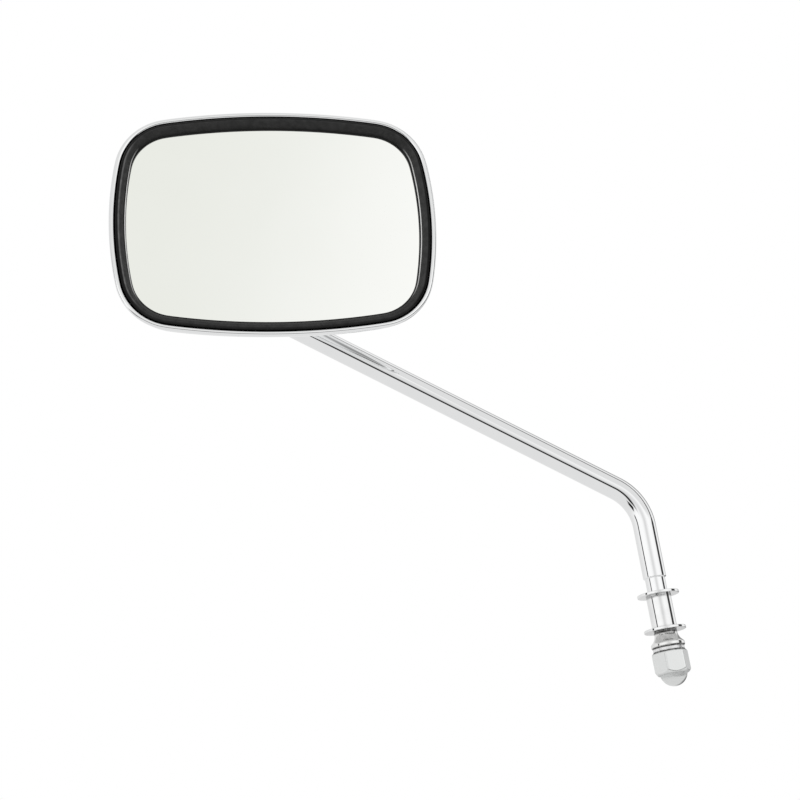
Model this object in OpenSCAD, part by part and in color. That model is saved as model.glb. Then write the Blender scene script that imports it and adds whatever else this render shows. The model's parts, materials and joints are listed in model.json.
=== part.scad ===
// Motorcycle mirror for the left bar: a chromed rectangular head on a ball joint,
// carried by a long bent stem whose stud is clamped in a lever perch.
// Frame: +Z up with the head level, +X from the head towards the perch, the glass faces -Y.
// Origin: on the stud's axis, at the underside of the upper washer, where the perch lug seats.

/* [Head outline] */
// Width of the black bezel
face_w = 141.6; // [134:0.2:152]
// Height of the black bezel
face_h = 103.4; // [96:0.1:112]
// Radius of the long arcs at the top and the bottom
top_arc_r = 324; // [250:1:600]
// Radius of the arcs at the two sides
side_arc_r = 153; // [120:1:300]
// Radius of the four corners
corner_r = 24; // [20:0.5:28]

/* [Housing shell] */
// Thickness of the pressed sheet
shell_t = 0.9; // [0.7:0.1:1.2]
// Radius of the rolled bead round the rim
bead_r = 1.3; // [0.9:0.05:1.4]
// How far the bead lies behind the bezel's crest
rim_set = 0.6; // [0.4:0.1:1.2]
// Depth at which the straight side wall turns into the bowl
wall_depth = 8.2; // [8.2:0.2:9.2]
// Radius of the fillet where the bowl runs up to the socket boss
boss_fillet = 3; // [2:0.5:4]
// Radius of the rounded edge at the boss's back
boss_edge = 2; // [1.2:0.2:2.4]

/* [Bezel and glass] */
// Visible width of the bezel's band
band_w = 4.9; // [4.5:0.1:7]
// How deep the glass lies behind the bezel's crest
glass_recess = 4.4; // [3.6:0.1:4.6]
// Thickness of the mirror glass
glass_t = 2; // [1.6:0.1:2.2]
// How far the bezel's groove takes in the glass
glass_bite = 1.1; // [0.8:0.1:1.6]
// Thickness of the foam pad behind the glass
pad_t = 0.85; // [0.6:0.05:0.9]
// Thickness of the backing plate
backing_t = 0.8; // [0.6:0.1:0.9]

/* [Ball joint] */
// Diameter of the ball
ball_d = 15; // [14:0.5:16]
// Diameter of the stem's neck at the ball
ball_neck_d = 7.5; // [6:0.25:8]
// Diameter of the neck's spigot inside the ball
spigot_d = 5; // [4:0.25:5.5]
// Depth of the ball's bore for the spigot
spigot_len = 8; // [6:0.5:9]
// How far the head pans to each side
pan_range = 12; // [8:1:13]
// How far the head tilts up and down
tilt_range = 12; // [8:1:13]
// Thickness of the plastic ball seats
seat_t = 1.25; // [1:0.05:1.5]
// Running clearance between the spherical faces
ball_fit = 0.05; // [0.02:0.01:0.1]
// Least wall of the socket cup
cup_wall = 1.65; // [1.2:0.05:2]
// Ball centre below the head's centre
ball_drop = 28.1; // [22:0.1:30]

/* [Clamp] */
// Thickness of the socket cup's flange
flange_t = 1.2; // [1:0.1:1.6]
// Radius of the flange and the clamp plate
flange_r = 18.5; // [17.5:0.25:19.5]
// Flat cut on the flange and the clamp plate, this far below the ball
flange_flat = 12; // [11.5:0.25:13]
// Thickness of the clamp plate
clamp_t = 2; // [1.6:0.1:2.4]
// Gap between the clamp plate and the flange
clamp_gap = 0.5; // [0.3:0.1:0.8]
// Diameter of the three clamp studs
stud_d = 4; // [3:0.5:4]
// Radius of the circle on which the studs stand
stud_circle_r = 14.6; // [14:0.1:15]
// Installed length of the springs
spring_len = 3.6; // [3:0.1:4.5]
// Wire diameter of the springs
spring_wire = 0.8; // [0.6:0.05:0.9]
// Turns of each spring
spring_turns = 3; // [2:1:4]
// Thickness of the washers on the springs
spring_washer_t = 0.6; // [0.5:0.1:0.8]
// Width across flats of the clamp nuts
clamp_nut_af = 7; // [6:0.5:7.5]
// Thickness of the clamp nuts
clamp_nut_t = 2.5; // [2:0.1:3]

/* [Stem] */
// Diameter of the stem
stem_d = 10.6; // [9.5:0.1:12]
// Length of the arm between the corners of its two bends
arm_len = 191.6; // [150:0.2:240]
// Slope of the arm below level
arm_drop = 29.1; // [20:0.1:40]
// Radius of the bend behind the head
neck_bend_r = 10.6; // [10:0.2:16]
// Radius of the elbow
elbow_r = 24; // [16:0.5:32]
// Length from the elbow's corner to the upper washer's underside
leg_len = 45.4; // [40:0.2:80]
// Lean of the stud from upright
stud_lean = 5.9; // [0:0.1:15]
// Diameter of the turned neck above the upper washer
neck_d = 9.2; // [8.8:0.1:9.4]
// Length of the turned neck
neck_len = 6.9; // [4:0.1:12]
// Diameter of the stud's thread
thread_d = 8; // [7:0.1:8]

/* [Clamping hardware] */
// Diameter of the two large washers
washer_d = 19.2; // [17:0.1:22]
// Thickness of the two large washers
washer_t = 1.3; // [1:0.1:2]
// Depth of the round seat that centres the sleeve in each washer
washer_seat = 0.3; // [0.2:0.05:0.4]
// Diameter of the spacer sleeve
sleeve_d = 11.4; // [10.4:0.1:12.5]
// Grip between the two washers
grip_len = 15.1; // [10:0.1:30]
// Clearance of the hardware on the thread
thread_fit = 0.2; // [0.1:0.05:0.3]
// Diameter of the collar's small end
collar_top_d = 10.5; // [9.6:0.1:12]
// Diameter of the collar's lip
collar_d = 15.4; // [14:0.1:18]
// Height of the collar
collar_h = 7.4; // [6:0.1:10]
// Diameter of the lock washer
lock_d = 14.4; // [13:0.1:16]
// Thickness of the lock washer
lock_t = 1.9; // [1.4:0.1:2.4]
// Width of the lock washer's split
lock_split = 1.2; // [0.8:0.1:2]
// Width across flats of the acorn nut
nut_af = 14.8; // [13:0.1:17]
// Height of the acorn nut's hexagon
nut_h = 10.4; // [8:0.1:12]
// Diameter of the acorn nut's dome
dome_d = 12.5; // [11:0.1:13]

/* [Hidden] */
$fn = 96;

chrome = [0.86, 0.87, 0.88];
black_rubber = [0.07, 0.07, 0.08];
glass_silver = [0.80, 0.83, 0.82];
bright_zinc = [0.74, 0.75, 0.77];
white_nylon = [0.93, 0.92, 0.88];
spring_steel = [0.55, 0.56, 0.58];
grey_foam = [0.35, 0.36, 0.38];

// Clearances of pieces that are laid, pressed or welded together
lay_gap = 0.05;
press_gap = 0.1;
weld_gap = 0.15;
// How far a cutting body runs past the face that it opens
past = 1;

// Ball joint, worked outwards from the ball
ball_r = ball_d / 2;
ball_neck_r = ball_neck_d / 2;
ball_flat = sqrt(ball_r * ball_r - ball_neck_r * ball_neck_r);
seat_in_r = ball_r + ball_fit;
seat_out_r = seat_in_r + seat_t;
cup_in_r = seat_out_r + ball_fit;
cup_out_r = cup_in_r + cup_wall;
boss_r = cup_out_r + press_gap + shell_t;
seat_ease = 0.6;
seat_open_r = ball_neck_r + seat_ease;
crown_hole_r = 1.6;
// The two seats stay this far from the ball's equator, so that panning never brings them together
seat_spare_turn = 2;
seat_stop = seat_out_r * sin((pan_range + seat_spare_turn) / 2);

// The neck leans this far from the socket's axis when pan and tilt are both at their limits
swing = acos(cos(pan_range) * cos(tilt_range));
function neck_reach(z) = z * tan(swing) + ball_neck_r / cos(swing);
open_ease = 0.25;
cup_open_r = neck_reach(ball_r) + open_ease;
shell_open_r = neck_reach(ball_r + shell_t) + 2 * open_ease;
// The stem's full diameter starts where it clears the boss at the widest swing
stem_r = stem_d / 2;
swing_gap = 1;
neck_out = (ball_r + shell_t + swing_gap + stem_r * sin(swing)) / cos(swing);
neck_chamfer = 0.5;

// Depths behind the bezel's crest, from the glass back to the stem
glass_back = glass_recess + glass_t;
pad_back = glass_back + pad_t;
backing_back = pad_back + backing_t;
tip_gap = 0.4;
stud_front = backing_back + tip_gap;
nut_front = stud_front + tip_gap;
nut_back = nut_front + clamp_nut_t;
spring_front = nut_back + spring_washer_t;
clamp_front = spring_front + spring_len;
clamp_back = clamp_front + clamp_t;
flange_front = clamp_back + clamp_gap;
flange_back = flange_front + flange_t;
bowl_floor = flange_back + weld_gap + shell_t;
// How far the front seat's crown stands into the clamp plate's dished hole
crown_bite = 2.25;
ball_depth = clamp_back + cup_in_r - crown_bite;
cup_back = ball_depth + ball_r;
boss_back = cup_back + shell_t;
stem_depth = ball_depth + neck_out + neck_chamfer + neck_bend_r;

// Places in the part's frame
elbow_turn = 90 - stud_lean - arm_drop;
elbow_tangent = elbow_r * tan(elbow_turn / 2);
elbow_corner = leg_len * [-sin(stud_lean), 0, cos(stud_lean)];
neck_corner = elbow_corner + arm_len * [-cos(arm_drop), 0, sin(arm_drop)];
ball_centre = neck_corner + [0, ball_depth - stem_depth, 0];
head_centre = neck_corner + [0, -stem_depth, ball_drop];

// Stack on the stud, as distances below the upper washer's underside
hole_d = thread_d + 2 * thread_fit;
collar_top = grip_len + washer_t;
lock_top = collar_top + collar_h;
nut_top = lock_top + lock_t;
bore_floor = 1.2;
nut_bore = nut_h - bore_floor;
shank_end = nut_top + nut_bore - bore_floor / 2;

// Outline of the face: arcs about fixed centres, so that adding e to each radius is a true offset
side_steps = 5;
corner_steps = 9;
top_steps = 6;
quarter_steps = side_steps + corner_steps + top_steps;
ring_n = 4 * quarter_steps;
top_centre = [0, face_h / 2 - top_arc_r];
side_centre = [face_w / 2 - side_arc_r, 0];
centres_apart = norm(side_centre - top_centre);
centres_dir = (side_centre - top_centre) / centres_apart;
from_top = top_arc_r - corner_r;
from_side = side_arc_r - corner_r;
along_dir = (centres_apart ^ 2 + from_top ^ 2 - from_side ^ 2) / (2 * centres_apart);
across_dir = sqrt(from_top ^ 2 - along_dir ^ 2);
corner_centre = top_centre + along_dir * centres_dir
    + across_dir * [centres_dir.y, -centres_dir.x];
side_end = atan2(corner_centre.y - side_centre.y, corner_centre.x - side_centre.x);
top_end = atan2(corner_centre.y - top_centre.y, corner_centre.x - top_centre.x);

function on_arc(centre, r, a) = centre + r * [cos(a), sin(a)];

// Point i of the quarter that runs from the right side's middle up to the top's middle
function quarter_point(i, e) =
    i < side_steps
        ? on_arc(side_centre, side_arc_r + e, side_end * i / side_steps)
    : i < side_steps + corner_steps
        ? on_arc(corner_centre, corner_r + e,
            side_end + (top_end - side_end) * (i - side_steps) / corner_steps)
    : on_arc(top_centre, top_arc_r + e,
        top_end + (90 - top_end) * (i - side_steps - corner_steps) / top_steps);

function flip(p, sx, sy) = [sx * p.x, sy * p.y];

function face_outline(e) = let (k = quarter_steps) [
    for (i = [0 : k - 1]) quarter_point(i, e),
    for (i = [k : -1 : 1]) flip(quarter_point(i, e), -1, 1),
    for (i = [0 : k - 1]) flip(quarter_point(i, e), -1, -1),
    for (i = [k : -1 : 1]) flip(quarter_point(i, e), 1, -1)
];

// Circle about the ball's axis with as many points as the face's outline
function boss_circle(r) = [
    for (i = [0 : ring_n - 1]) on_arc([0, -ball_drop], r, 360 * i / ring_n)
];

// A ring of a loft is a flat outline at a depth behind the bezel's crest
function ring_at(outline, depth) = [for (p = outline) [p.x, depth, p.y]];

// Closed skin over rings that run round the wall of a body with one opening through it
module loft(rings) {
    m = len(rings);
    polyhedron(
        points = [for (ring = rings) each ring],
        faces = [
            for (k = [0 : m - 1]) for (i = [0 : ring_n - 1])
                let (
                    j = (i + 1) % ring_n,
                    next = (k + 1) % m,
                    a = k * ring_n + i,
                    b = k * ring_n + j,
                    c = next * ring_n + j,
                    d = next * ring_n + i
                )
                each [[a, c, b], [a, d, c]]
        ],
        convexity = 6
    );
}

module in_head() {
    translate(head_centre) children();
}

// Flat sheet with the face's outline, between two depths
module face_sheet(e, front, back) {
    in_head() translate([0, back, 0]) rotate([90, 0, 0])
        linear_extrude(back - front) polygon(face_outline(e));
}

// z = 0 at the ball's centre, +z towards the back of the head, +y down
module on_ball_axis() {
    translate(ball_centre) rotate([-90, 0, 0]) children();
}

// The same axis with z = 0 at a depth behind the bezel's crest
module at_depth(depth) {
    on_ball_axis() translate([0, 0, depth - ball_depth]) children();
}

// z = 0 at the upper washer's underside, +z up the stud
module on_stud() {
    rotate([0, -stud_lean, 0]) children();
}

// The three clamp studs' axes, with z = 0 at a depth behind the bezel's crest
module at_clamp_studs(depth) {
    at_depth(depth) for (a = [-90, 30, 150])
        rotate([0, 0, a]) translate([stud_circle_r, 0, 0]) children();
}

// Disc with one flat below, as the cup's flange and the clamp plate have
module flatted_disc(r, h) {
    difference() {
        cylinder(r = r, h = h);
        translate([-r, flange_flat, -past]) cube([2 * r, r, h + 2 * past]);
    }
}

module ring(outer_d, inner_d, h) {
    difference() {
        cylinder(d = outer_d, h = h);
        translate([0, 0, -past]) cylinder(d = inner_d, h = h + 2 * past);
    }
}

module hexagon(af, h) {
    cylinder(d = af / cos(30), h = h, $fn = 6);
}

// Round bar of radius r, bent about the z axis from angle start
module bent_rod(bend_r, start, turn, r) {
    rotate([0, 0, start]) rotate_extrude(angle = turn)
        translate([bend_r, 0]) circle(r = r);
}

// The stem in one piece: spigot, neck, bend, arm, elbow, leg, turned neck and threaded shank
module stem_arm() {
    color(chrome) union() {
        on_ball_axis() stem_neck();
        translate(neck_corner) rotate([0, arm_drop, 0]) bent_stem();
        on_stud() stem_foot();
    }
}

// Neck and spigot at the ball, let into the start of the bend
module stem_neck() {
    translate([0, 0, ball_flat - spigot_len + 2 * lay_gap])
        cylinder(r = spigot_d / 2 - ball_fit, h = spigot_len);
    translate([0, 0, ball_flat])
        cylinder(r = ball_neck_r, h = neck_out - ball_flat + past);
}

// The round bar from the neck's shoulder to the leg's; x runs along the arm from the bend's corner.
// The bar swells a hair in the elbow, and both straights are let into it
module bent_stem() {
    arm_end = arm_len - elbow_tangent;
    leg_end = leg_len - washer_t - neck_len;
    swell = 0.02;
    let_in = 0.4;
    translate([0, -neck_bend_r - neck_chamfer, 0]) rotate([-90, 0, 0])
        cylinder(r1 = stem_r - neck_chamfer, r2 = stem_r, h = neck_chamfer);
    translate([neck_bend_r, -neck_bend_r, 0]) bent_rod(neck_bend_r, 90, 90, stem_r);
    translate([neck_bend_r, 0, 0]) rotate([0, 90, 0])
        cylinder(r = stem_r, h = arm_end - neck_bend_r + let_in);
    translate([arm_end, 0, -elbow_r]) rotate([90, 0, 0])
        bent_rod(elbow_r, 90 - elbow_turn, elbow_turn, stem_r + swell);
    translate([arm_len, 0, 0]) rotate([0, 90 + elbow_turn, 0]) {
        translate([0, 0, elbow_tangent - let_in])
            cylinder(r = stem_r, h = leg_end - elbow_tangent - neck_chamfer + let_in);
        translate([0, 0, leg_end - neck_chamfer])
            cylinder(r1 = stem_r, r2 = stem_r - neck_chamfer, h = neck_chamfer);
    }
}

// Turned neck and threaded shank, let into the end of the leg
module stem_foot() {
    shank_chamfer = 0.8;
    translate([0, 0, washer_t]) cylinder(d = neck_d, h = neck_len + past);
    translate([0, 0, shank_chamfer - shank_end])
        cylinder(d = thread_d, h = shank_end - shank_chamfer + washer_t + past);
    translate([0, 0, -shank_end])
        cylinder(r1 = thread_d / 2 - shank_chamfer, r2 = thread_d / 2, h = shank_chamfer);
}

// Steel ball, flattened and bored where the stem's neck is pressed in
module swivel_ball() {
    color(bright_zinc) on_ball_axis() difference() {
        sphere(r = ball_r);
        translate([-ball_r, -ball_r, ball_flat]) cube(ball_d);
        translate([0, 0, ball_flat - spigot_len]) cylinder(d = spigot_d, h = spigot_len + past);
    }
}

// Half of the plastic liner round the ball; side is 1 for the rear half and -1 for the front
module ball_seat(side, hole_r) {
    color(white_nylon) on_ball_axis() mirror([0, 0, side > 0 ? 0 : 1]) difference() {
        sphere(r = seat_out_r);
        sphere(r = seat_in_r);
        cylinder(r = hole_r, h = 2 * seat_out_r);
        translate([-ball_d, -ball_d, seat_stop - 2 * ball_d]) cube(2 * ball_d);
    }
}

module rear_ball_seat() {
    ball_seat(1, seat_open_r);
}

module front_ball_seat() {
    ball_seat(-1, crown_hole_r);
}

// Pressed cup welded inside the boss: spherical bearing for the rear seat, with a flange
module socket_cup() {
    chamfer = boss_edge - shell_t + press_gap;
    relief = 0.3;
    color(bright_zinc) difference() {
        union() {
            at_depth(flange_front) flatted_disc(flange_r, flange_t);
            at_depth(flange_front)
                cylinder(r = cup_out_r, h = cup_back - chamfer - flange_front);
            at_depth(cup_back - chamfer)
                cylinder(r1 = cup_out_r, r2 = cup_out_r - chamfer, h = chamfer);
        }
        on_ball_axis() {
            sphere(r = cup_in_r);
            cylinder(r = cup_open_r, h = 2 * ball_r);
            translate([0, 0, -ball_d])
                cylinder(r = cup_in_r + relief, h = ball_d - 2 * relief);
        }
        at_clamp_studs(flange_front - past)
            cylinder(d = stud_d + 2 * lay_gap, h = flange_t + 2 * past);
    }
}

// Three threaded studs welded into the flange
module clamp_studs() {
    tip_chamfer = 0.4;
    color(bright_zinc) at_clamp_studs(stud_front) {
        translate([0, 0, tip_chamfer])
            cylinder(d = stud_d, h = flange_back - stud_front - tip_chamfer);
        cylinder(r1 = stud_d / 2 - tip_chamfer, r2 = stud_d / 2, h = tip_chamfer);
    }
}

// Plate that the springs push onto the front seat; its hole is dished to the seat's sphere
module clamp_plate() {
    color(bright_zinc) difference() {
        at_depth(clamp_front) flatted_disc(flange_r, clamp_t);
        on_ball_axis() sphere(r = cup_in_r);
        at_clamp_studs(clamp_front - past)
            cylinder(d = stud_d + 2 * thread_fit, h = clamp_t + 2 * past);
    }
}

// Round wire wound about the z axis, with flat ends
module coil(mean_r, wire_r, rise, turns) {
    sides = 8;
    per_turn = 16;
    n = turns * per_turn;
    polyhedron(
        points = [
            for (k = [0 : n]) for (j = [0 : sides - 1])
                let (
                    a = 360 * k / per_turn,
                    r = mean_r + wire_r * cos(360 * j / sides),
                    z = rise * k / n + wire_r * sin(360 * j / sides)
                )
                [r * cos(a), r * sin(a), z]
        ],
        faces = [
            [for (j = [0 : sides - 1]) j],
            [for (j = [sides - 1 : -1 : 0]) n * sides + j],
            for (k = [0 : n - 1]) for (j = [0 : sides - 1])
                let (
                    i = (j + 1) % sides,
                    a = k * sides + j,
                    b = k * sides + i
                )
                each [[a, a + sides, b + sides], [a, b + sides, b]]
        ],
        convexity = 8
    );
}

spring_ease = 0.3;
spring_in_r = stud_d / 2 + spring_ease;

module clamp_springs() {
    wire_r = spring_wire / 2;
    color(spring_steel) at_clamp_studs(spring_front + wire_r)
        coil(spring_in_r + wire_r, wire_r, spring_len - spring_wire, spring_turns);
}

module spring_washers() {
    color(bright_zinc) at_clamp_studs(nut_back) ring(
        2 * (spring_in_r + spring_wire + spring_ease), stud_d + 2 * thread_fit, spring_washer_t);
}

module clamp_nuts() {
    color(bright_zinc) at_clamp_studs(nut_front) difference() {
        hexagon(clamp_nut_af, clamp_nut_t);
        translate([0, 0, -past]) cylinder(d = stud_d + 2 * lay_gap, h = clamp_nut_t + 2 * past);
    }
}

// Side wall and bead of the shell, as steps outwards from the bezel's edge
wall_in = press_gap;
wall_out = wall_in + shell_t;
bead_steps = [0, 30, 60, 90, 120, 150, 180, 215, 250];
bowl_steps = [0.14, 0.28, 0.42, 0.56, 0.7, 0.85, 1];
arc_steps = [0, 30, 60, 90];
foot_r = boss_r + boss_fillet;

function bead_ring(a) = ring_at(
    face_outline(wall_in + bead_r - bead_r * cos(a)),
    rim_set + bead_r - bead_r * sin(a));

// Each meridian of the bowl is a quarter of an ellipse from the side wall to the boss's foot;
// the short meridians at the bottom are drawn in, so that the bowl stays hidden behind the rim
function meridian_power(from, to) = let (
        spans = [for (i = [0 : ring_n - 1]) norm(from[i] - to[i])],
        least = min(spans),
        most = max(spans)
    )
    [for (span = spans) 0.5 + 0.5 * (span - least) / (most - least)];

function bowl_ring(e, floor, t) = let (
        from = face_outline(e),
        to = boss_circle(foot_r),
        power = meridian_power(from, to)
    )
    ring_at(
        [for (i = [0 : ring_n - 1])
            let (s = (1 - cos(90 * t)) ^ power[i]) (1 - s) * from[i] + s * to[i]],
        wall_depth + (floor - wall_depth) * sin(90 * t));

function boss_ring(r, depth) = ring_at(boss_circle(r), depth);

function reversed(list) = [for (i = [len(list) - 1 : -1 : 0]) list[i]];

function outer_rings() = [
    for (a = bead_steps) bead_ring(a),
    ring_at(face_outline(wall_out), rim_set + 2 * bead_r + shell_t / 2),
    ring_at(face_outline(wall_out), wall_depth),
    for (t = bowl_steps) bowl_ring(wall_out, bowl_floor, t),
    for (a = [30, 60, 90]) boss_ring(
        foot_r - boss_fillet * sin(a), bowl_floor + boss_fillet * (1 - cos(a))),
    for (a = arc_steps) boss_ring(
        boss_r - boss_edge * (1 - cos(a)), boss_back - boss_edge * (1 - sin(a))),
    boss_ring(shell_open_r, boss_back)
];

// The inner skin, from the side wall back to the opening
function inner_rings() = let (
        edge = boss_edge - shell_t,
        fillet = boss_fillet + shell_t
    ) [
    ring_at(face_outline(wall_in), wall_depth),
    for (t = bowl_steps) bowl_ring(wall_in, bowl_floor - shell_t, t),
    for (a = [30, 60, 90]) boss_ring(
        foot_r - fillet * sin(a), bowl_floor + boss_fillet - fillet * cos(a)),
    for (a = arc_steps) boss_ring(
        boss_r - shell_t - edge * (1 - cos(a)), cup_back - edge * (1 - sin(a))),
    boss_ring(shell_open_r, cup_back)
];

// Chromed shell: rolled bead, side wall, bowl and socket boss in one pressed sheet
module housing_shell() {
    color(chrome) in_head() loft(concat(outer_rings(), reversed(inner_rings())));
}

module backing_plate() {
    color(bright_zinc) face_sheet(-2 * press_gap, pad_back, backing_back);
}

module glass_pad() {
    color(grey_foam) face_sheet(-band_w - 3 * press_gap, glass_back, pad_back);
}

module mirror_glass() {
    color(glass_silver) face_sheet(glass_bite - band_w - lay_gap, glass_recess, glass_back);
}

// Section of the bezel as steps inwards from its edge and depths behind its crest:
// a rounded shoulder, a slope down to the inner lip, the groove for the glass and the rear lip
function bezel_section() = let (
        lip_r = 0.35,
        groove = band_w - glass_bite
    ) [
    [0, 1.3], [0.25, 0.6], [0.8, 0.15], [1.5, 0],
    [band_w * 0.42, 0.2], [band_w * 0.6, glass_recess * 0.26],
    [band_w * 0.76, glass_recess * 0.52], [band_w * 0.86, glass_recess * 0.68],
    [band_w - 1.5 * lip_r, glass_recess * 0.66], [band_w - 0.4 * lip_r, glass_recess * 0.76],
    [band_w, glass_recess - 0.4 * lip_r],
    [band_w, glass_recess], [groove, glass_recess], [groove, glass_back],
    [band_w, glass_back], [band_w, pad_back], [0.5, pad_back], [0, pad_back - 0.5]
];

module bezel_gasket() {
    color(black_rubber) in_head()
        loft(reversed([for (p = bezel_section()) ring_at(face_outline(-p.x), p.y)]));
}

module upper_washer() {
    color(chrome) on_stud() difference() {
        ring(washer_d, hole_d, washer_t);
        translate([0, 0, -past])
            cylinder(d = sleeve_d + 2 * press_gap, h = past + washer_seat);
    }
}

module spacer_sleeve() {
    color(chrome) on_stud() translate([0, 0, -grip_len - washer_seat])
        ring(sleeve_d, hole_d, grip_len + 2 * washer_seat);
}

module lower_washer() {
    color(chrome) on_stud() translate([0, 0, -collar_top]) difference() {
        ring(washer_d, hole_d, washer_t);
        translate([0, 0, washer_t - washer_seat])
            cylinder(d = sleeve_d + 2 * press_gap, h = past);
    }
}

// Turned collar: a short neck that flares to a rounded lip
module cone_collar() {
    r = collar_d / 2;
    top_r = collar_top_d / 2;
    lip_h = 2.2;
    lip_round = 0.7;
    color(chrome) on_stud() translate([0, 0, -lock_top]) rotate_extrude() polygon([
        [hole_d / 2, 0],
        [r - lip_round, 0],
        [r - 0.3 * lip_round, 0.3 * lip_round],
        [r, lip_round],
        [r, lip_h - lip_round],
        [r - 0.4 * lip_round, lip_h - 0.2 * lip_round],
        [r - 0.25 * (r - top_r), lip_h + 0.15 * (collar_h - lip_h)],
        [top_r + 0.35 * (r - top_r), lip_h + 0.45 * (collar_h - lip_h)],
        [top_r + 0.08 * (r - top_r), lip_h + 0.8 * (collar_h - lip_h)],
        [top_r, collar_h],
        [hole_d / 2, collar_h]
    ]);
}

// Split spring washer, pressed flat
module lock_washer() {
    split_turn = 25;
    color(chrome) on_stud() translate([0, 0, -nut_top]) difference() {
        ring(lock_d, hole_d, lock_t);
        rotate([0, 0, -split_turn]) translate([0, -lock_split / 2, -past])
            cube([lock_d, lock_split, lock_t + 2 * past]);
    }
}

// Hexagon with turned corners and a domed cap over a blind bore
module acorn_nut() {
    corner = nut_af / 2 / cos(30);
    drop = (corner - nut_af / 2) * tan(30);
    cap = 1.6;
    sink = 0.9;
    color(chrome) on_stud() translate([0, 0, -nut_top - nut_h]) difference() {
        union() {
            intersection() {
                hexagon(nut_af, nut_h);
                rotate_extrude() polygon([
                    [0, 0], [corner - cap, 0], [corner, cap], [corner, nut_h - drop],
                    [nut_af / 2, nut_h], [0, nut_h]
                ]);
            }
            translate([0, 0, sink]) sphere(d = dome_d);
        }
        translate([0, 0, nut_h - nut_bore]) cylinder(d = thread_d + 2 * lay_gap, h = nut_h);
    }
}

stem_arm();
swivel_ball();
upper_washer();
spacer_sleeve();
lower_washer();
cone_collar();
lock_washer();
acorn_nut();
rear_ball_seat();
front_ball_seat();
housing_shell();
socket_cup();
clamp_studs();
clamp_plate();
clamp_springs();
spring_washers();
clamp_nuts();
backing_plate();
glass_pad();
mirror_glass();
bezel_gasket();
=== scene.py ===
# Motorcycle mirror: its dressed pieces, their finishes and the studio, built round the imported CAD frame.
# Metres, +Z up, +X from the head towards the perch; the glass faces -Y.
import json
import math

import bpy
from mathutils import Matrix, Vector


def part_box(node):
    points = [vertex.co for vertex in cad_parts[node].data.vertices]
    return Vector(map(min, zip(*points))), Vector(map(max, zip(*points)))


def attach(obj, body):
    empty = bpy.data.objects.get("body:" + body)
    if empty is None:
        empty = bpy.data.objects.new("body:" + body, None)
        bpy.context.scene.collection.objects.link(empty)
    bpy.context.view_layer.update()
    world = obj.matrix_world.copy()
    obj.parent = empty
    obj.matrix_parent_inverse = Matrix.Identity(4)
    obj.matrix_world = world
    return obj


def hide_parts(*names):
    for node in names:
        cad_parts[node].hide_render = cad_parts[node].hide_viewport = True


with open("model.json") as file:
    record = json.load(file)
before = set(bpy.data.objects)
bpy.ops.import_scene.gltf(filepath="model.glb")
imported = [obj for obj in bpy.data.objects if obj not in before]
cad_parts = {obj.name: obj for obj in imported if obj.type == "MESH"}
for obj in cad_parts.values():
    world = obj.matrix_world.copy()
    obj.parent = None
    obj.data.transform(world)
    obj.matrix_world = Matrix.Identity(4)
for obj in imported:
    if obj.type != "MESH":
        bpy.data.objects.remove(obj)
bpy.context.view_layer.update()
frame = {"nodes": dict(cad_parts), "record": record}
nodes = frame["nodes"]
print("frame loaded:", len(nodes), "nodes")

# The stud leans by this angle, its foot towards the perch
studLean = math.radians(5.9)
studAxis = Vector((-math.sin(studLean), 0, math.cos(studLean)))
studTurn = Matrix.Rotation(-studLean, 4, "Y")

# Camera, as fitted to the photograph
camera = {
    "place": (-0.210085, -0.785722, -0.150201),
    "right": (0.99309924, -0.10561937, -0.05097505),
    "up": (0.01696040, -0.30074162, 0.95355484),
    "back": (-0.11604418, -0.94783914, -0.29687492),
    "lens": 80.172,
    "sensor": 36.0,
    "clip": (0.05, 50.0),
}


def makeCamera():
    data = bpy.data.cameras.new("photoCamera")
    data.lens = camera["lens"]
    data.sensor_width = camera["sensor"]
    data.clip_start, data.clip_end = camera["clip"]
    thing = bpy.data.objects.new("photoCamera", data)
    bpy.context.scene.collection.objects.link(thing)
    axes = Matrix([camera["right"], camera["up"], camera["back"]]).transposed()
    thing.matrix_world = Matrix.Translation(camera["place"]) @ axes.to_4x4()
    bpy.context.scene.camera = thing
    print("camera placed")


makeCamera()


# Small helpers for building material and world nodes
def addNode(tree, kind, inputs=None, **settings):
    node = tree.nodes.new(kind)
    for name, value in settings.items():
        setattr(node, name, value)
    for socket, value in (inputs or {}).items():
        if isinstance(value, bpy.types.NodeSocket):
            tree.links.new(value, node.inputs[socket])
        else:
            node.inputs[socket].default_value = value
    return node


def addMath(tree, operation, *values):
    return addNode(tree, "ShaderNodeMath", dict(enumerate(values)), operation=operation).outputs[0]


def addRange(tree, value, span, result=(0.0, 1.0)):
    # Carries the span over to the result, and stops at both ends
    inputs = {0: value, 1: span[0], 2: span[1], 3: result[0], 4: result[1]}
    return addNode(tree, "ShaderNodeMapRange", inputs).outputs[0]


def addRamp(tree, value, span, stops):
    # Stops are (value, shade) pairs, and the values lie within the span
    node = addNode(tree, "ShaderNodeValToRGB", {0: addRange(tree, value, span)})
    ramp = node.color_ramp
    while len(ramp.elements) < len(stops):
        ramp.elements.new(0.5)
    for element, (place, shade) in zip(ramp.elements, stops):
        element.position = (place - span[0]) / (span[1] - span[0])
        element.color = (*shade, 1) if isinstance(shade, tuple) else (shade, shade, shade, 1)
    return node.outputs[0]


def addBlend(tree, amount, first, second):
    return addNode(tree, "ShaderNodeMix", {0: amount, 6: first, 7: second}, data_type="RGBA").outputs[2]


def addScaled(tree, colour, amount):
    return addNode(tree, "ShaderNodeVectorMath", {0: colour, "Scale": amount}, operation="SCALE").outputs[0]


def addShade(tree, tone, amount):
    # Takes this share of the light away
    return addMath(tree, "MULTIPLY", tone, addMath(tree, "SUBTRACT", 1.0, amount))


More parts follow.
